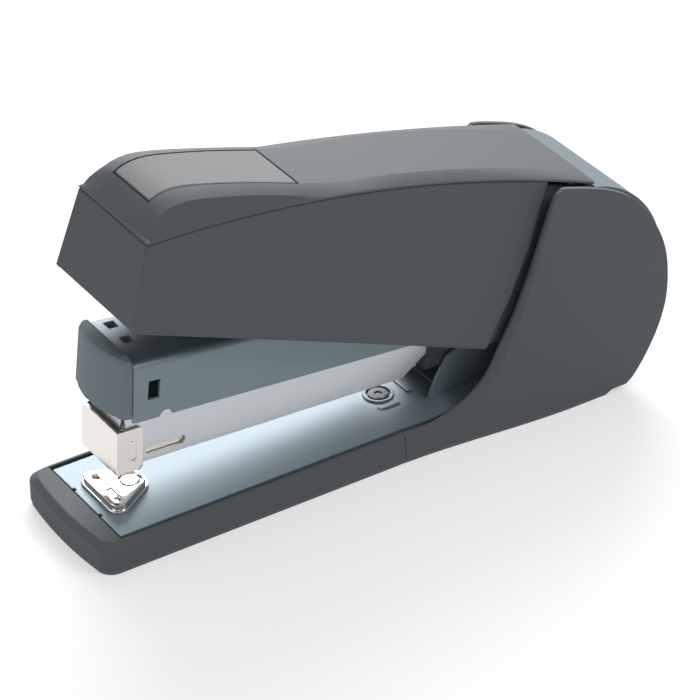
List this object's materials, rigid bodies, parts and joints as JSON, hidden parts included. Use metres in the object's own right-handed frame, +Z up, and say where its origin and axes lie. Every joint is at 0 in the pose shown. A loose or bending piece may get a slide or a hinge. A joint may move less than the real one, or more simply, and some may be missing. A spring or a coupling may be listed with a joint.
{
  "type": "stapler",
  "caption": "Compound-lever desktop stapler with a hollow moulded handle, sprung magazine, steel driver arm, inset base plate and cheeked base.",
  "frame": {"origin": "on the ground under the middle of the stapler's box", "axes": "+X runs back along the stapler from the nose to the heel, +Y is across it, +Z is up"},
  "size_m": [0.164, 0.0458, 0.0921],
  "materials": {
    "black_plastic": "satin charcoal ABS moulding",
    "sole_rubber": "matt dark grey rubber",
    "blue_grey_paint": "semi-gloss blue-grey stove enamel on sheet steel",
    "warm_nickel": "bright warm nickel plate",
    "zinc_steel": "satin zinc-plated sheet steel",
    "bright_steel": "bright steel",
    "spring_steel": "oiled spring steel",
    "black_screw": "blackened steel",
    "staple_wire": "bright plated staple wire",
    "dark_moulding": "matt black acetal",
    "blue_grey_moulding": "satin blue-grey moulding",
    "grained_rubber": "fine-grained soft-touch grey"
  },
  "bodies": {
    "base": {"base_shell": "black_plastic", "rubber_sole": "sole_rubber", "base_plate": "blue_grey_paint", "anvil": "warm_nickel", "anvil_rivet": "warm_nickel", "hinge_bracket": "blue_grey_paint", "bracket_screws": "bright_steel", "plate_screw": "black_screw", "hinge_pin": "bright_steel", "handle_pins": "bright_steel", "magazine_spring": "spring_steel"},
    "magazine": {"magazine_channel": "zinc_steel", "front_plate": "warm_nickel", "staple_rail": "zinc_steel", "staple_strip": "staple_wire", "magazine_block": "dark_moulding", "guide_rod": "bright_steel", "arm_spring": "spring_steel", "pusher_spring": "spring_steel"},
    "pusher": {"pusher": "dark_moulding"},
    "driver_arm": {"driver_arm": "blue_grey_paint", "nose_cap": "blue_grey_moulding", "driver_blade": "bright_steel", "cap_rivets": "bright_steel"},
    "handle": {"handle_shell": "black_plastic", "top_cover": "black_plastic", "thumb_pad": "grained_rubber", "handle_lever": "blue_grey_paint", "press_bar": "bright_steel", "rear_cover": "blue_grey_moulding", "lever_screws": "bright_steel"}
  },
  "joints": [
    {"name": "handle_hinge", "type": "hinge", "parent": "base", "child": "handle", "pos_m": [0.0545, 0, 0.0315], "axis": [0, -1, 0], "range_deg": [-20, 12], "stiffness_Nm_per_rad": 2.5},
    {"name": "driver_arm_hinge", "type": "hinge", "parent": "base", "child": "driver_arm", "pos_m": [0.071, 0, 0.016], "axis": [0, -1, 0], "range_deg": [-10, 6], "deforming": ["arm_spring"]},
    {"name": "magazine_hinge", "type": "hinge", "parent": "base", "child": "magazine", "pos_m": [0.071, 0, 0.016], "axis": [0, -1, 0], "range_deg": [0, 3], "stiffness_Nm_per_rad": 3, "deforming": ["magazine_spring"]},
    {"name": "pusher_slide", "type": "slide", "parent": "magazine", "child": "pusher", "axis": [0.9986, 0, -0.0523], "range_m": [0, 0.022], "stiffness_N_per_m": 20, "springref_m": -0.01, "deforming": ["pusher_spring"]}
  ],
  "couplings": [
    {"joint": "driver_arm_hinge", "follows": "handle_hinge", "ratio": 0.5}
  ]
}
